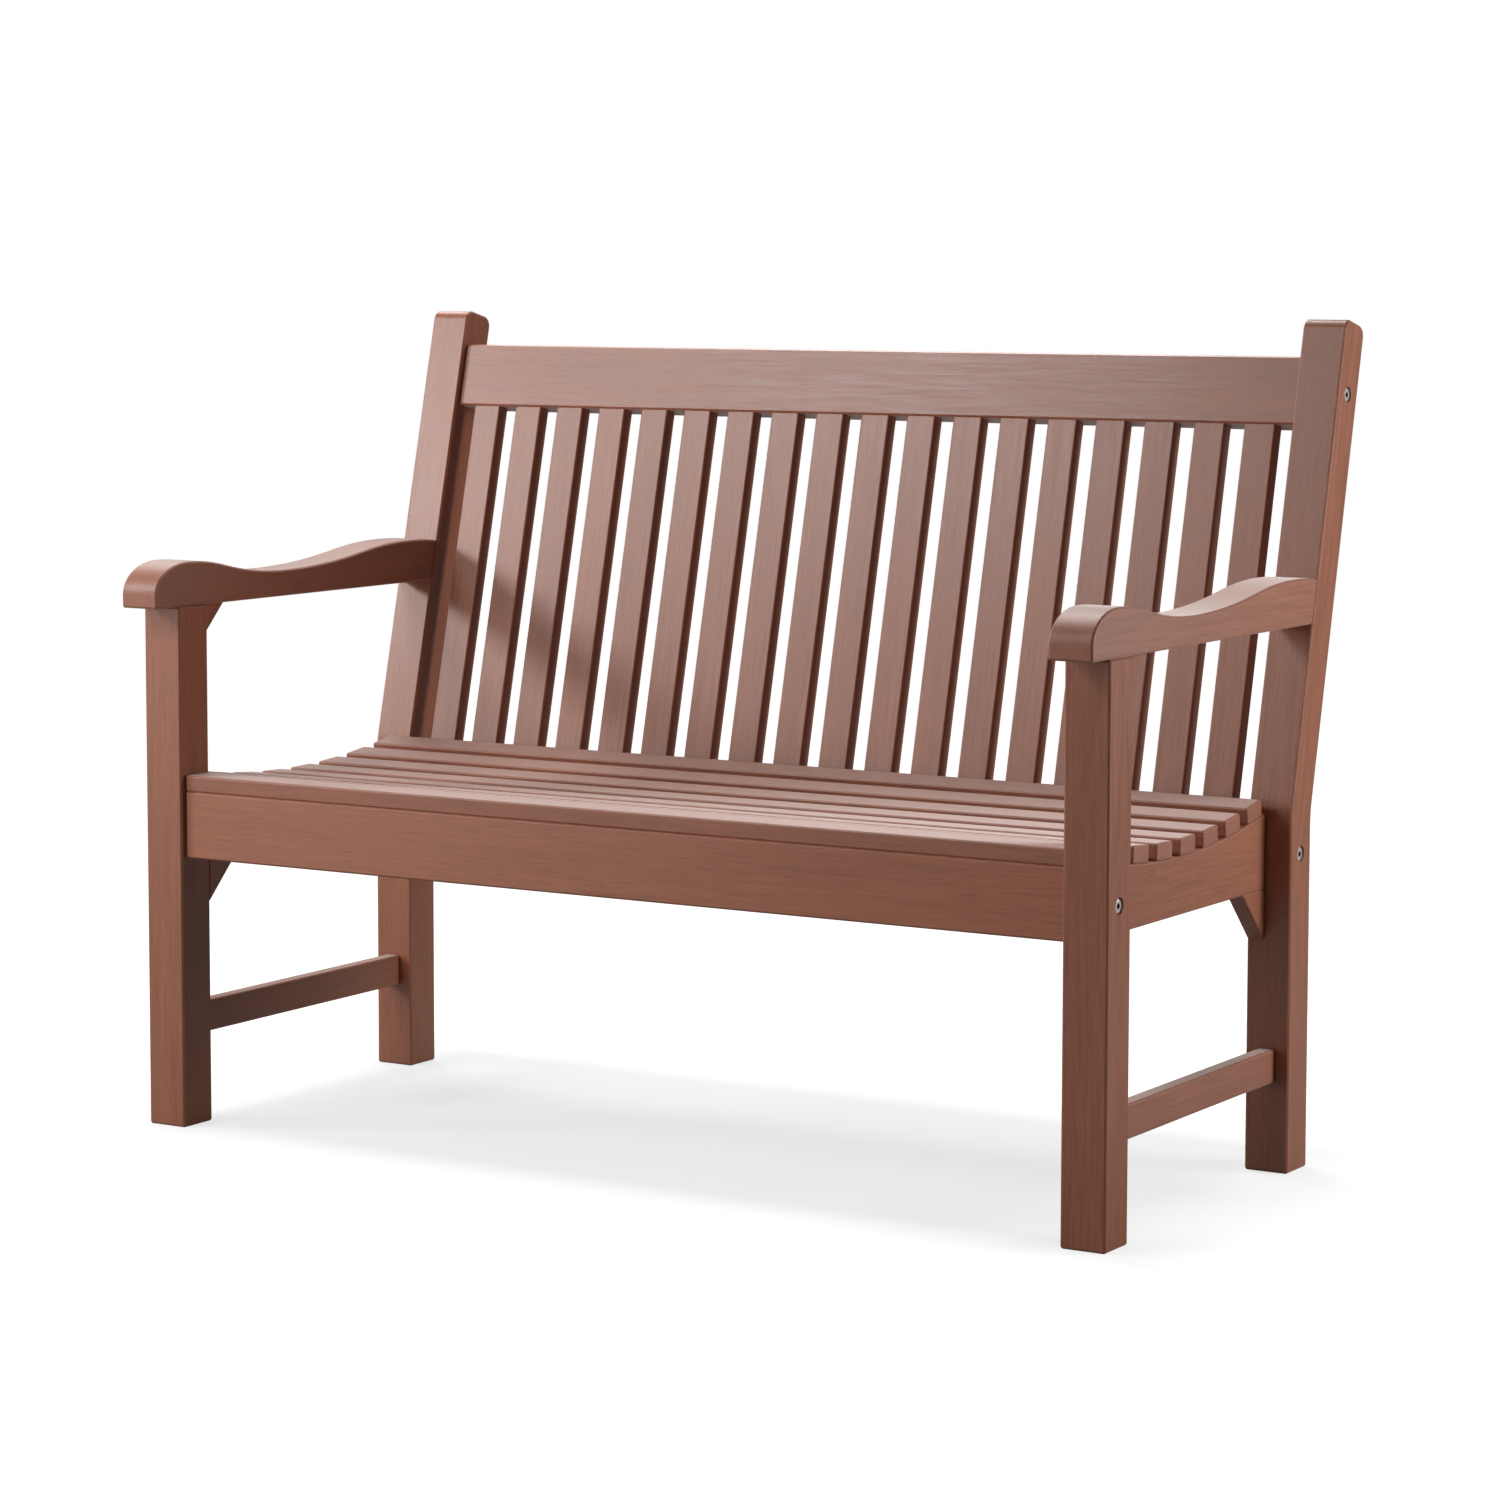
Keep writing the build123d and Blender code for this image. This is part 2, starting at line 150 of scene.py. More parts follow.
class NodeTree:
    """Short way to write a shader tree."""

    def __init__(self, owner: bpy.types.Material | bpy.types.World) -> None:
        """Empties the owner's tree and keeps it.

        Args:
            owner: Material or world to write.
        """
        owner.use_nodes = True
        self.tree = owner.node_tree
        self.tree.nodes.clear()

    def add(self, kind: str, **settings: object) -> bpy.types.Node:
        """Adds a node.

        Args:
            kind: Node type without its ShaderNode prefix.
            **settings: Attributes of the node.

        Returns:
            The node.
        """
        node = self.tree.nodes.new("ShaderNode" + kind)
        for name, value in settings.items():
            setattr(node, name, value)
        return node

    def link(self, source: bpy.types.NodeSocket, target: bpy.types.NodeSocket) -> None:
        """Joins two sockets."""
        self.tree.links.new(source, target)

    def fill(self, node: bpy.types.Node, values: dict[str, object]) -> None:
        """Sets constant values on a node's inputs."""
        for name, value in values.items():
            node.inputs[name].default_value = value

    def scaled(self, vector: bpy.types.NodeSocket, scale: Point) -> bpy.types.NodeSocket:
        """Coordinates times a scale on each axis.

        Args:
            vector: Coordinates to scale.
            scale: Scale on each axis.

        Returns:
            The scaled coordinates.
        """
        mapping = self.add("Mapping")
        self.fill(mapping, {"Scale": scale})
        self.link(vector, mapping.inputs["Vector"])
        return mapping.outputs["Vector"]

    def noise(self, vector: bpy.types.NodeSocket, kind: Noise) -> bpy.types.NodeSocket:
        """Noise on stretched coordinates.

        Args:
            vector: Coordinates to stretch.
            kind: Stretch and octaves of the noise.

        Returns:
            The noise value, about 0 to 1.
        """
        node = self.add("TexNoise")
        self.fill(node, {"Scale": 1.0, "Detail": kind.detail, "Roughness": kind.roughness})
        self.link(self.scaled(vector, kind.stretch), node.inputs["Vector"])
        return node.outputs["Fac"]

    def bump(
        self, shader: bpy.types.Node, height: bpy.types.NodeSocket, strength: float, relief: float
    ) -> None:
        """Bends a shader's normal as a height would.

        Args:
            shader: Shader with a Normal input.
            height: Height, about 0 to 1.
            strength: Share of the bend.
            relief: Metres that a height of 1 stands for.
        """
        node = self.add("Bump")
        self.fill(node, {"Strength": strength, "Distance": relief})
        self.link(height, node.inputs["Height"])
        self.link(node.outputs["Normal"], shader.inputs["Normal"])

    def show(self, surface: bpy.types.NodeSocket, kind: str = "OutputMaterial") -> None:
        """Sends a surface to a new output of the tree."""
        self.link(surface, self.add(kind).inputs["Surface"])

    def spread(
        self, value: bpy.types.NodeSocket, source: tuple[float, float], target: tuple[float, float]
    ) -> bpy.types.NodeSocket:
        """Clamped linear change of range.

        Args:
            value: Value to change.
            source: Range that it comes from.
            target: Range that it goes to.

        Returns:
            The changed value.
        """
        node = self.add("MapRange")
        self.fill(node, dict(zip(("From Min", "From Max", "To Min", "To Max"), source + target)))
        self.link(value, node.inputs["Value"])
        return node.outputs["Result"]

    def math(
        self, operation: str, first: bpy.types.NodeSocket, second: bpy.types.NodeSocket | float
    ) -> bpy.types.NodeSocket:
        """Result of a math operation on two values.

        Args:
            operation: Name of Blender's math operation.
            first: First value.
            second: Second value, linked or constant.

        Returns:
            The result.
        """
        node = self.add("Math", operation=operation)
        self.link(first, node.inputs[0])
        if isinstance(second, float):
            node.inputs[1].default_value = second
        else:
            self.link(second, node.inputs[1])
        return node.outputs["Value"]

    def blend(
        self,
        share: bpy.types.NodeSocket,
        first: bpy.types.NodeSocket | Colour,
        second: bpy.types.NodeSocket | Colour,
    ) -> bpy.types.NodeSocket:
        """Mix of two colours.

        Args:
            share: Share of the second colour.
            first: First colour, linked or constant.
            second: Second colour, linked or constant.

        Returns:
            The mixed colour.
        """
        node = self.add("Mix", data_type="RGBA")
        self.link(share, node.inputs["Factor"])
        for socket, colour in ((node.inputs[6], first), (node.inputs[7], second)):
            if isinstance(colour, tuple):
                socket.default_value = (*colour, 1.0)
            else:
                self.link(colour, socket)
        return node.outputs[2]


@dataclass(frozen=True)
class LumberFinish:
    """Satin wood-look poly lumber: brushed grain, sparse dark pores, slow changes of tone.

    Attributes:
        name: Name of the material.
        dark: Colour of the darker grain, linear.
        light: Colour of the lighter grain, linear.
        pore: Colour of the pores, linear.
        rough: Lowest and highest roughness.
        sheen: Weight of the pale sheen.
        gloss: Level of the reflections, 0.5 being that of a plain surface.
        sheen_tint: Colour of the sheen.
        sheen_rough: Roughness of the sheen.
        index: Index of refraction.
        cloud: Slow change of tone.
        cloud_share: Share of the slow change in the tone.
        fibre: Brushed grain.
        fibre_share: Share of the brushed grain in the tone.
        streak: Finest grain, which bears the pores.
        pore_range: Streak values between which a pore grows from nothing to full.
        pore_share: Share of the pores' colour where a pore is full.
        pore_depth: Depth of a full pore, in shares of the streaks' height.
        bump: Strength of the grain's bump.
        relief: Height of the grain's bump, in metres.
    """

    name: str
    dark: Colour
    light: Colour
    pore: Colour
    rough: tuple[float, float] = (0.33, 0.44)
    sheen: float = 0.6
    gloss: float = 0.9
    sheen_tint: Colour = (1.0, 0.93, 0.90)
    sheen_rough: float = 0.4
    index: float = 1.5
    cloud: Noise = Noise((2.6, 26.0, 26.0), 3.0, 0.5)
    cloud_share: float = 0.4
    fibre: Noise = Noise((11.0, 300.0, 300.0), 4.0, 0.6)
    fibre_share: float = 0.6
    streak: Noise = Noise((30.0, 640.0, 640.0), 2.0, 0.5)
    pore_range: tuple[float, float] = (0.54, 0.72)
    pore_share: float = 0.34
    pore_depth: float = 0.5
    bump: float = 0.3
    relief: float = 0.0003

    def material(self) -> bpy.types.Material:
        """Makes the material, which reads the board coordinates in the attribute grain.

        Returns:
            The material.
        """
        material = bpy.data.materials.new(self.name)
        tree = NodeTree(material)
        grain = tree.add("Attribute", attribute_name="grain").outputs["Vector"]
        board = tree.add("Attribute", attribute_name="board_tone").outputs["Fac"]
        cloud = tree.noise(grain, self.cloud)
        fibre = tree.noise(grain, self.fibre)
        streak = tree.noise(grain, self.streak)
        pores = tree.spread(streak, self.pore_range, (0.0, 1.0))
        tone = tree.math(
            "ADD",
            tree.spread(cloud, NOISE_RANGE, (0.0, self.cloud_share)),
            tree.spread(fibre, NOISE_RANGE, (0.0, self.fibre_share)),
        )
        colour = tree.blend(tree.math("ADD", tone, board), self.dark, self.light)
        colour = tree.blend(tree.math("MULTIPLY", pores, self.pore_share), colour, self.pore)
        shader = tree.add("BsdfPrincipled")
        constants = {
            "IOR": self.index,
            "Specular IOR Level": self.gloss,
            "Sheen Weight": self.sheen,
            "Sheen Tint": (*self.sheen_tint, 1.0),
            "Sheen Roughness": self.sheen_rough,
        }
        tree.fill(shader, constants)
        tree.link(colour, shader.inputs["Base Color"])
        tree.link(tree.spread(fibre, NOISE_RANGE, self.rough), shader.inputs["Roughness"])
        height = tree.math("SUBTRACT", streak, tree.math("MULTIPLY", pores, self.pore_depth))
        tree.bump(shader, height, self.bump, self.relief)
        tree.show(shader.outputs["BSDF"])
        return material


@dataclass(frozen=True)
class SteelFinish:
    """Stainless steel with fine turning marks.

    Attributes:
        name: Name of the material.
        dark: Darker colour, linear.
        light: Lighter colour, linear.
        marks: The turning marks.
        metallic: Share of bare metal.
        rough: Lowest and highest roughness.
        bump: Strength of the marks' bump.
        relief: Height of the marks' bump, in metres.
    """

    name: str
    dark: Colour
    light: Colour
    marks: Noise = Noise((900.0, 900.0, 900.0), 3.0, 0.6)
    metallic: float = 0.6
    rough: tuple[float, float] = (0.22, 0.42)
    bump: float = 0.1
    relief: float = 0.0001

    def material(self) -> bpy.types.Material:
        """Makes the material, which reads object coordinates.

        Returns:
            The material.
        """
        material = bpy.data.materials.new(self.name)
        tree = NodeTree(material)
        place = tree.add("TexCoord").outputs["Object"]
        marks = tree.noise(place, self.marks)
        shader = tree.add("BsdfPrincipled")
        tree.fill(shader, {"Metallic": self.metallic})
        tree.link(tree.blend(marks, self.dark, self.light), shader.inputs["Base Color"])
        tree.link(tree.spread(marks, NOISE_RANGE, self.rough), shader.inputs["Roughness"])
        tree.bump(shader, marks, self.bump, self.relief)
        tree.show(shader.outputs["BSDF"])
        return material


LUMBER = LumberFinish(
    name="mauve_brown_lumber",
    dark=(0.268, 0.083, 0.036),
    light=(0.418, 0.134, 0.061),
    pore=(0.125, 0.045, 0.025),
)
PALE_LUMBER = replace(LUMBER, name="pale_lumber", rough=(0.44, 0.54), sheen=0.8)
DEEP_LUMBER = replace(LUMBER, name="deep_lumber", sheen=0.15)
# Side rails' finish without sheen: its base colours are paler and greyer than the lumber's. That
# is painted sheen, making up for the sheen and reflections this finish leaves out.
DULL_SHEEN_PAINTED_LUMBER = LumberFinish(
    name="dull_sheen_painted_lumber",
    dark=(0.268, 0.097, 0.052),
    light=(0.412, 0.155, 0.086),
    pore=(0.125, 0.051, 0.033),
    rough=(0.50, 0.60),
    sheen=0.0,
    gloss=0.4,
)
# Finish of the rounded edges: rubbed wear, and a painted highlight, a little lighter and greyer
# than the faces.
WORN_HIGHLIGHT_LUMBER = LumberFinish(
    name="worn_highlight_edge_lumber",
    dark=(0.290, 0.098, 0.050),
    light=(0.412, 0.144, 0.077),
    pore=(0.160, 0.056, 0.030),
    rough=(0.46, 0.56),
    sheen=0.1,
)
STEEL = SteelFinish(name="bolt_steel", dark=(0.55, 0.53, 0.50), light=(0.90, 0.88, 0.85))
# Near-black steel for the hex sockets' faces: painted shade, standing in for the shadow deep in
# each socket.
SOCKET_SHADE_STEEL = SteelFinish(
    name="socket_painted_shade", dark=(0.010, 0.010, 0.011), light=(0.030, 0.029, 0.028)
)


@dataclass
class Softener:
    """Turns a CAD node into a smooth piece with rounded edges.

    Attributes:
        round_width: Width that each rounding takes from an edge, in metres.
        round_steps: Facets across each rounding.
        sharp_angle: Smallest angle of an edge that is rounded, in radians.
        merge: Distance within which points are merged, in metres.
        flat_angle: Largest angle between faces that become one, in radians.
        flatness: Weight of the large faces in the normals, 100 being the most.
        shift: Shift of the grain from one board to the next, in metres.
    """

    round_width: float = 0.0007
    round_steps: int = 2
    sharp_angle: float = math.radians(30.0)
    merge: float = 1e-6
    flat_angle: float = math.radians(0.5)
    flatness: int = 100
    shift: Point = (1.73, 0.317, 0.211)

    def piece(
        self,
        node: str,
        run: Run,
        number: int,
        materials: tuple[bpy.types.Material, bpy.types.Material],
        tone: float,
    ) -> bpy.types.Object:
        """Makes a merged copy of a node with rounded edges, and lets it stand for the node.

        Args:
            node: Name of the CAD node.
            run: Direction of the piece's grain.
            number: Number of the piece, which shifts its grain.
            materials: Finish of the faces, then of the rounded edges, which carry wear and a
                painted highlight.
            tone: Lighter or darker than the usual board, in shares of the grain's range.

        Returns:
            The piece.
        """
        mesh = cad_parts[node].data.copy()
        mesh.name = node + "_eased"
        shape = bmesh.new()
        shape.from_mesh(mesh)
        bmesh.ops.remove_doubles(shape, verts=shape.verts, dist=self.merge)
        bmesh.ops.dissolve_limit(
            shape, angle_limit=self.flat_angle, verts=shape.verts, edges=shape.edges
        )
        shape.to_mesh(mesh)
        shape.free()
        mesh.shade_smooth()
        places = np.empty(len(mesh.vertices) * 3)
        mesh.vertices.foreach_get("co", places)
        board = grain_coordinates(places.reshape(-1, 3), run)
        board += np.array(self.shift) * number
        grain = mesh.attributes.new("grain", "FLOAT_VECTOR", "POINT")
        grain.data.foreach_set("vector", board.astype(np.float32).ravel())
        shade = mesh.attributes.new("board_tone", "FLOAT", "POINT")
        shade.data.foreach_set("value", np.full(len(mesh.vertices), tone, dtype=np.float32))
        mesh.materials.clear()
        for material in materials:
            mesh.materials.append(material)
        piece = bpy.data.objects.new(node + "_eased", mesh)
        bpy.context.scene.collection.objects.link(piece)
        rounding = piece.modifiers.new("rounded_edges", "BEVEL")
        rounding.width = self.round_width
        rounding.segments = self.round_steps
        rounding.limit_method = "ANGLE"
        rounding.angle_limit = self.sharp_angle
        # The roundings take the second material: edge wear with a painted highlight.
        rounding.material = 1
        flatness = piece.modifiers.new("flat_faces", "WEIGHTED_NORMAL")
        flatness.weight = self.flatness
        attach(piece, BODY)
        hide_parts(node)
        log.info("%s: grain %s", piece.name, run.value)
        return piece


@dataclass
class BoardSet:
    """A group of boards that share a finish and a direction of grain.

    Attributes:
        nodes: CAD nodes of the boards.
        run: Direction of their grain.
        first: Number of the first board.
        tone: Tone of the group, 0 for the usual one.
        scatter: How far the boards' tones differ within the group.
        beat: Step of the sine from one board's tone to the next, in radians.
        finish: Finish of the faces.
    """

    nodes: list[str]
    run: Run
    first: int
    tone: float = 0.0
    scatter: float = 0.06
    beat: float = 2.4
    finish: LumberFinish = LUMBER

    def build(
        self, softener: Softener, materials: dict[LumberFinish, bpy.types.Material]
    ) -> list[bpy.types.Object]:
        """Makes every board, its tone a sine of its number about the group's tone.

        Args:
            softener: Maker of the pieces.
            materials: Material of each finish.

        Returns:
            The pieces, in the order of the nodes.
        """
        pair = (materials[self.finish], materials[WORN_HIGHLIGHT_LUMBER])
        numbers = [self.first + i for i in range(len(self.nodes))]
        tones = [self.tone + self.scatter * math.sin(self.beat * n) for n in numbers]
        return [
            softener.piece(node, self.run, number, pair, tone)
            for node, number, tone in zip(self.nodes, numbers, tones)
        ]


@dataclass
class FrameBolts:
    """Six cap bolts with hex sockets, seated in the counterbores of the legs and posts.

    Attributes:
        face_x: Distance of the legs' outer faces from the middle, in metres.
        recess: Depth of the cap below the outer face.
        head_radius: Radius of the cap.
        head_height: Height of the cap.
        socket_flats: Width of the hex socket across its flats.
        socket_depth: Depth of the socket.
        shank_radius: Radius of the shank.
        shank_length: Length of the shank under the cap.
        front_place: Y and Z of the front bolts.
        back_place: Y and Z of the bolts at the back rail.
        top_rise: Rise of the top bolts along the lean.
        steps: Points round each ring.
        drill: Depth of the drill's point in the socket's floor.
        drill_share: Width of that point, as a share of the socket's.
        lip: Bevel of the socket's mouth, and fall of the cap towards its edge.
        slope: Width of the cap's falling edge.
        ease: Rounding of the cap's edge.
        tip: Bevel of the shank's tip.
        mouth_round: Share of the hexagon that is left at the socket's mouth.
        socket_reach: Share of the flats' width that takes in the hexagon's corners.
        slack: Depth below the cap from which a face belongs to the socket.
        merge: Distance within which points are merged.
        sharp_angle: Smallest angle of an edge that stays sharp, in radians.
    """

    face_x: float = 0.6
    recess: float = 0.0015
    head_radius: float = 0.0075
    head_height: float = 0.004
    socket_flats: float = 0.005
    socket_depth: float = 0.0025
    shank_radius: float = 0.004
    shank_length: float = 0.0785
    front_place: tuple[float, float] = (-0.2571, 0.3415)
    back_place: tuple[float, float] = (0.1729, 0.3415)
    top_rise: float = 0.454
    steps: int = 48
    drill: float = 0.0006
    drill_share: float = 0.55
    lip: float = 0.0003
    slope: float = 0.0018
    ease: float = 0.0005
    tip: float = 0.001
    mouth_round: float = 0.8
    socket_reach: float = 0.6
    slack: float = 0.0001
    merge: float = 1e-7
    sharp_angle: float = math.radians(35.0)

    def places(self) -> list[Point]:
        """Centres of the counterbores' mouths.

        Returns:
            Places of the left bolts, then of the right ones.
        """
        top = LEAN.point(0.0, 0.0, self.top_rise)[1:]
        sides = (self.front_place, self.back_place, top)
        return [(sign * self.face_x, *place) for sign in (-1.0, 1.0) for place in sides]

    def rings(self) -> np.ndarray:
        """Profile of a bolt from the socket's floor round to the shank's tip.

        Returns:
            (n, 3) array of radius, depth below the mouth and share of hexagon.
        """
        flat, crown = self.socket_flats / 2, self.recess
        floor, seat = crown + self.socket_depth, crown + self.head_height
        edge, end = crown + self.lip, seat + self.shank_length
        return np.array(
            [
                (0.0, floor + self.drill, 0.0),
                (flat * self.drill_share, floor, 1.0),
                (flat, floor, 1.0),
                (flat, edge, 1.0),
                (flat + self.lip, crown, self.mouth_round),
                (self.head_radius - self.slope, crown, 0.0),
                (self.head_radius - self.ease, edge, 0.0),
                (self.head_radius, edge + self.ease, 0.0),
                (self.head_radius, seat, 0.0),
                (self.shank_radius, seat, 0.0),
                (self.shank_radius, end - self.tip, 0.0),
                (self.shank_radius - self.tip, end, 0.0),
                (0.0, end, 0.0),
            ]
        )

    def surface(self) -> tuple[np.ndarray, np.ndarray]:
        """All bolts as one grid of points and quads.

        A round ring keeps its radius at every angle. A hexagon divides it by the cosine of the
        angle to the nearest flat's middle, so that the corners stand out, and a ring between the
        two mixes both by its share. The rings carry that round the bolt's axis, and the depth runs
        inwards along X.

        Returns:
            Points as (n, 3), and quads as (m, 4).
        """
        radius, depth, hexagon = self.rings()[:, :, None].transpose(1, 0, 2)
        angle = np.arange(self.steps) * (2 * math.pi / self.steps)
        flat = 1 / np.cos((angle % (math.pi / 3)) - math.pi / 6)
        spoke = radius * (1 + hexagon * (flat - 1))
        count = len(radius)
        ring, step = np.meshgrid(np.arange(count - 1), np.arange(self.steps), indexing="ij")
        after = (step + 1) % self.steps
        corners = [(ring, step), (ring + 1, step), (ring + 1, after), (ring, after)]
        quads = np.stack([r * self.steps + s for r, s in corners], axis=-1).reshape(-1, 4)
        points, faces = [], []
        for x, y, z in self.places():
            sign = math.copysign(1.0, x)
            grid = np.stack(
                [
                    x - sign * (depth + 0 * angle),
                    y + sign * spoke * np.cos(angle),
                    z + spoke * np.sin(angle),
                ],
                axis=-1,
            )
            faces.append(quads + len(points) * count * self.steps)
            points.append(grid.reshape(-1, 3))
        return np.concatenate(points), np.concatenate(faces)

    def socket_shade_faces(self, mesh: bpy.types.Mesh) -> np.ndarray:
        """Finds the faces of the hex sockets by their distance from the axis and from the mouth.

        Args:
            mesh: Mesh of the bolts.

        Returns:
            1 for each face in a socket, else 0.
        """
        middle = np.empty(len(mesh.polygons) * 3)
        mesh.polygons.foreach_get("center", middle)
        x, y, z = middle.reshape(-1, 3).T
        axes = np.array(self.places())[:, 1:]
        radius = np.hypot(y[:, None] - axes[:, 0], z[:, None] - axes[:, 1]).min(axis=1)
        depth = self.face_x - np.abs(x)
        deep = (depth > self.recess + self.slack) & (depth < self.recess + self.head_height)
        return (deep & (radius < self.socket_flats * self.socket_reach)).astype(np.int32)

    def build(self, steel: bpy.types.Material, socket: bpy.types.Material) -> bpy.types.Object:
        """Makes the bolts and lets them stand for the CAD bolts.

        Args:
            steel: Finish of the bolts.
            socket: Near-black material inside the hex sockets, a painted shade.

        Returns:
            The piece.
        """
        points, quads = self.surface()
        mesh = bpy.data.meshes.new("frame_bolt_caps")
        mesh.from_pydata(points.tolist(), [], quads.tolist())
        shape = bmesh.new()
        shape.from_mesh(mesh)
        bmesh.ops.remove_doubles(shape, verts=shape.verts, dist=self.merge)
        bmesh.ops.recalc_face_normals(shape, faces=shape.faces)
        shape.to_mesh(mesh)
        shape.free()
        mesh.set_sharp_from_angle(angle=self.sharp_angle)
        mesh.materials.append(steel)
        mesh.materials.append(socket)
        # The sockets' faces take the second material, the painted shade.
        mesh.polygons.foreach_set("material_index", self.socket_shade_faces(mesh))
        piece = bpy.data.objects.new("frame_bolt_caps", mesh)
        bpy.context.scene.collection.objects.link(piece)
        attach(piece, BODY)
        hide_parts("frame_bolts")
        log.info("%s: %d faces", piece.name, len(mesh.polygons))
        return piece


@dataclass
class BarrelNuts:
    """The nuts that the frame bolts screw into, in their CAD shape.

    Attributes:
        node: CAD node of the nuts.
    """

    node: str = "barrel_nuts"

    def dress(self, steel: bpy.types.Material) -> None:
        """Gives the nuts their finish.

        Args:
            steel: Finish of the nuts.
        """
        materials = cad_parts[self.node].data.materials
        materials.clear()
        materials.append(steel)
        log.info("%s: %s", self.node, steel.name)


@dataclass
class Softbox:
    """A rectangular studio lamp.

    Attributes:
        name: Name of the lamp.
        place: Where it stands, in metres.
        aim: Point that it faces.
        size: Width and height of its cloth.
        power: Power in watts.
        glossy: Whether it shows in glossy surfaces.
    """

    name: str
    place: Point
    aim: Point
    size: tuple[float, float]
    power: float
    glossy: bool = True

    def build(self) -> bpy.types.Object:
        """Makes the lamp.

        Returns:
            The lamp's object.
        """
        light = bpy.data.lights.new(self.name, "AREA")
        light.shape = "RECTANGLE"
        light.size, light.size_y = self.size
        light.energy = self.power
        lamp = bpy.data.objects.new(self.name, light)
        lamp.location = self.place
        away = Vector(self.place) - Vector(self.aim)
        lamp.rotation_euler = away.to_track_quat("Z", "Y").to_euler()
        lamp.visible_camera = False
        lamp.visible_glossy = self.glossy
        bpy.context.scene.collection.objects.link(lamp)
        return lamp


@dataclass
class Studio:
    """White floor, white surroundings, soft lamps and the camera.

    Attributes:
        floor_reach: Half the width of the floor, in metres.
        paint: Grey of the floor in the lamps' light.
        fill: Strength of the light from the surroundings.
        mirror: Strength of the surroundings in glossy surfaces.
        glow: Strength of the floor's own white under the bench, which the lamps add to; below 1 it
            is a painted shadow.
        painted_shadow_fade: Shares of the painted shadow's box between which that strength rises
            to full white.
        painted_shadow_box: Half the width and half the depth of the painted shadow on the ground,
            a rectangle.
        camera_place: Where the camera stands.
        turn: Turn of the camera to the left of straight ahead, in radians.
        dip: Its dip below level.
        roll: Its roll.
        focal: Focal length over the picture's width.
        shift: Upward shift over the picture's width.
        film: Width of the camera's film, in millimetres.
        sight: Farthest distance that the camera sees.
    """

    floor_reach: float = 30.0
    paint: float = 0.25
    fill: float = 0.01
    mirror: float = 0.06
    glow: float = 0.70
    painted_shadow_fade: tuple[float, float] = (0.8, 1.2)
    painted_shadow_box: tuple[float, float] = (0.66, 0.31)
    camera_place: Point = (2.42653, -3.93322, 0.97042)
    turn: float = 0.5493
    dip: float = 0.0922
    roll: float = -0.0017
    focal: float = 4228.86 / 1500
    shift: float = -0.0667
    film: float = 36.0
    sight: float = 200.0

    def lamps(self) -> list[Softbox]:
        """The soft lamps around the bench."""
        return [
            Softbox("top_back", (-0.9, 0.9, 2.7), (-0.1, 0.0, 0.4), (1.4, 0.8), 43.0),
            Softbox("key_left", (-3.6, -2.0, 2.0), (-0.1, 0.1, 0.6), (0.75, 0.65), 38.0),
            Softbox("front_left", (-1.35, -1.95, 2.1), (0.0, 0.1, 0.75), (0.9, 0.8), 23.0),
            Softbox("left_back", (-2.0, 1.2, 2.2), (-0.2, 0.05, 0.55), (0.9, 0.8), 12.0),
            Softbox("left_near", (-1.9, -1.0, 1.2), (-0.1, 0.1, 0.6), (0.4, 0.35), 7.0),
            Softbox("front_low", (-1.8, -2.4, 0.6), (0.0, 0.0, 0.4), (1.0, 0.9), 7.5),
            Softbox("right_low", (2.1, 0.6, 0.85), (0.5, 0.05, 0.5), (0.8, 0.8), 17.0),
            Softbox("right_back", (2.3, 1.0, 1.0), (0.5, 0.0, 0.5), (1.0, 1.0), 11.0),
            Softbox("front_fill", (-0.3, -3.0, 0.6), (0.0, 0.0, 0.4), (1.4, 0.9), 8.0, False),
        ]

    def seen(self, tree: NodeTree) -> bpy.types.NodeSocket:
        """Share of the white background that a ray sees.

        Args:
            tree: Tree of the floor or the world.

        Returns:
            1 for the camera and for glass, the mirror share for glossy surfaces, else 0.
        """
        path = tree.add("LightPath")
        glossy = tree.math("MULTIPLY", path.outputs["Is Glossy Ray"], self.mirror)
        camera, glass = path.outputs["Is Camera Ray"], path.outputs["Is Transmission Ray"]
        return tree.math("MAXIMUM", tree.math("MAXIMUM", camera, glass), glossy)

    def build_floor(self) -> bpy.types.Object:
        """Makes the floor, which looks white to the camera and keeps the bench's soft shadow.

        Its own white depends on the larger of two shares, X over half the box's width and Y
        over half its depth, so that a painted shadow, a grey rectangle, lies under the bench.

        Returns:
            The floor's object.
        """
        r = self.floor_reach
        mesh = bpy.data.meshes.new("studio_floor")
        mesh.from_pydata([(-r, -r, 0), (r, -r, 0), (r, r, 0), (-r, r, 0)], [], [(0, 1, 2, 3)])
        floor = bpy.data.objects.new("studio_floor", mesh)
        bpy.context.scene.collection.objects.link(floor)
        material = bpy.data.materials.new("white_floor")
        tree = NodeTree(material)
        paint = tree.add("BsdfDiffuse")
        tree.fill(paint, {"Color": (self.paint, self.paint, self.paint, 1.0)})
        width, depth = self.painted_shadow_box
        place = tree.add("TexCoord").outputs["Object"]
        either_side = tree.add("VectorMath", operation="ABSOLUTE")
        tree.link(tree.scaled(place, (1 / width, 1 / depth, 1.0)), either_side.inputs[0])
        axes = tree.add("SeparateXYZ")
        tree.link(either_side.outputs["Vector"], axes.inputs["Vector"])
        distance = tree.math("MAXIMUM", axes.outputs["X"], axes.outputs["Y"])
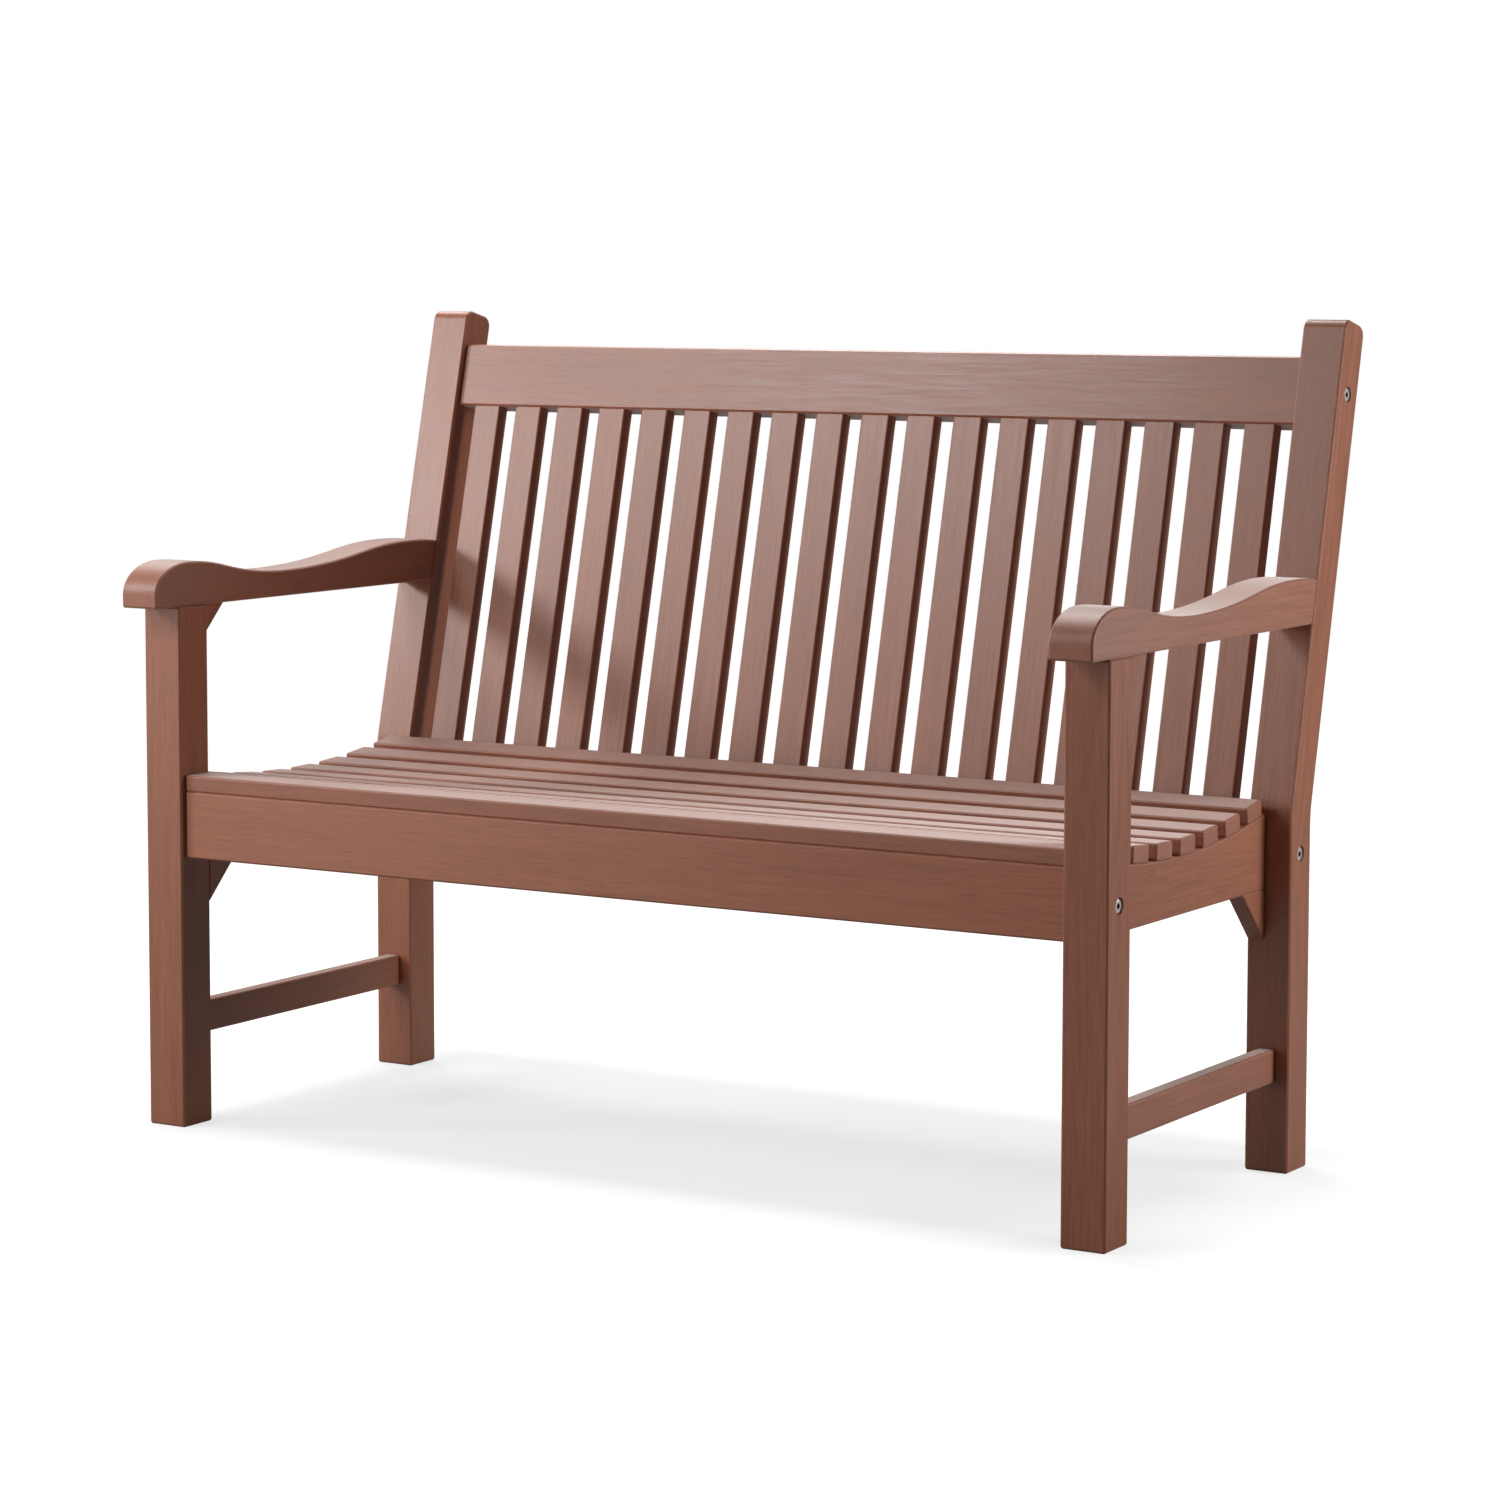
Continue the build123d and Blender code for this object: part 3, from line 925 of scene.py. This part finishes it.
        # Painted shadow: inside the box the floor's own white falls to glow, so the ground under
        # the bench stays grey whatever the lamps do.
        white = tree.spread(distance, self.painted_shadow_fade, (self.glow, 1.0))
        glow = tree.add("Emission")
        tree.fill(glow, {"Color": WHITE})
        tree.link(tree.math("MULTIPLY", self.seen(tree), white), glow.inputs["Strength"])
        both = tree.add("AddShader")
        tree.link(glow.outputs["Emission"], both.inputs[0])
        tree.link(paint.outputs["BSDF"], both.inputs[1])
        tree.show(both.outputs["Shader"])
        mesh.materials.append(material)
        return floor

    def build_world(self) -> None:
        """Makes the surroundings: white to the eye, an even fill as light."""
        world = bpy.data.worlds.new("studio_world")
        tree = NodeTree(world)
        strength = tree.spread(self.seen(tree), (0.0, 1.0), (self.fill, 1.0))
        background = tree.add("Background")
        tree.fill(background, {"Color": WHITE})
        tree.link(strength, background.inputs["Strength"])
        tree.show(background.outputs["Background"], "OutputWorld")
        bpy.context.scene.world = world

    def build_camera(self) -> bpy.types.Object:
        """Makes the camera from its turn, dip and roll.

        Returns:
            The camera's object.
        """
        level = Vector((math.cos(self.turn), math.sin(self.turn), 0.0))
        ahead = Vector(
            (
                -math.sin(self.turn) * math.cos(self.dip),
                math.cos(self.turn) * math.cos(self.dip),
                -math.sin(self.dip),
            )
        )
        down = ahead.cross(level)
        right = level * math.cos(self.roll) + down * math.sin(self.roll)
        axes = Matrix((right, -ahead.cross(right), -ahead)).transposed()
        lens = bpy.data.cameras.new("photo_view")
        lens.sensor_width = self.film
        lens.lens = self.focal * self.film
        lens.shift_y = self.shift
        lens.clip_end = self.sight
        camera = bpy.data.objects.new("photo_view", lens)
        camera.matrix_world = Matrix.Translation(self.camera_place) @ axes.to_4x4()
        bpy.context.scene.collection.objects.link(camera)
        bpy.context.scene.camera = camera
        return camera

    def build(self) -> None:
        """Makes the whole studio."""
        self.build_floor()
        self.build_world()
        for softbox in self.lamps():
            softbox.build()
        self.build_camera()
        bpy.context.scene.view_settings.view_transform = "Standard"


def on_both_sides(*names: str) -> list[str]:
    """Names of left and right nodes."""
    return [f"{name}_{side}" for name in names for side in SIDES]


def main() -> None:
    """Builds the bench's pieces in order, then the studio."""
    logging.basicConfig(level=logging.INFO, format="%(name)s %(message)s")
    finishes = (LUMBER, PALE_LUMBER, DEEP_LUMBER, DULL_SHEEN_PAINTED_LUMBER, WORN_HIGHLIGHT_LUMBER)
    lumber = {finish: finish.material() for finish in finishes}
    steel = STEEL.material()
    softener = Softener()
    boards = [
        BoardSet(on_both_sides("front_leg"), Run.UPRIGHT, 1, finish=DEEP_LUMBER),
        BoardSet(on_both_sides("rear_post"), Run.BENT, 3),
        BoardSet(on_both_sides("arm"), Run.DEPTH, 5, finish=PALE_LUMBER),
        BoardSet(on_both_sides("side_rail"), Run.DEPTH, 7, finish=DULL_SHEEN_PAINTED_LUMBER),
        BoardSet(on_both_sides("stretcher"), Run.DEPTH, 9, finish=PALE_LUMBER),
        BoardSet(on_both_sides("arm_block", "front_block", "rear_block"), Run.UPRIGHT, 11),
        BoardSet(["front_rail"], Run.ACROSS, 17, tone=0.32, finish=DEEP_LUMBER),
        BoardSet(["back_rail", "top_rail"], Run.ACROSS, 18),
        BoardSet(["centre_rail"], Run.DEPTH, 20),
        BoardSet([f"seat_slat_{i}" for i in range(1, 9)], Run.ACROSS, 21, finish=PALE_LUMBER),
        BoardSet([f"back_slat_{i:02d}" for i in range(1, 19)], Run.LEANING, 29),
    ]
    for board in boards:
        board.build(softener, lumber)
    # The bolts' sockets get the near-black painted shade.
    FrameBolts().build(steel, SOCKET_SHADE_STEEL.material())
    BarrelNuts().dress(steel)
    Studio().build()


if __name__ == "__main__":
    main()
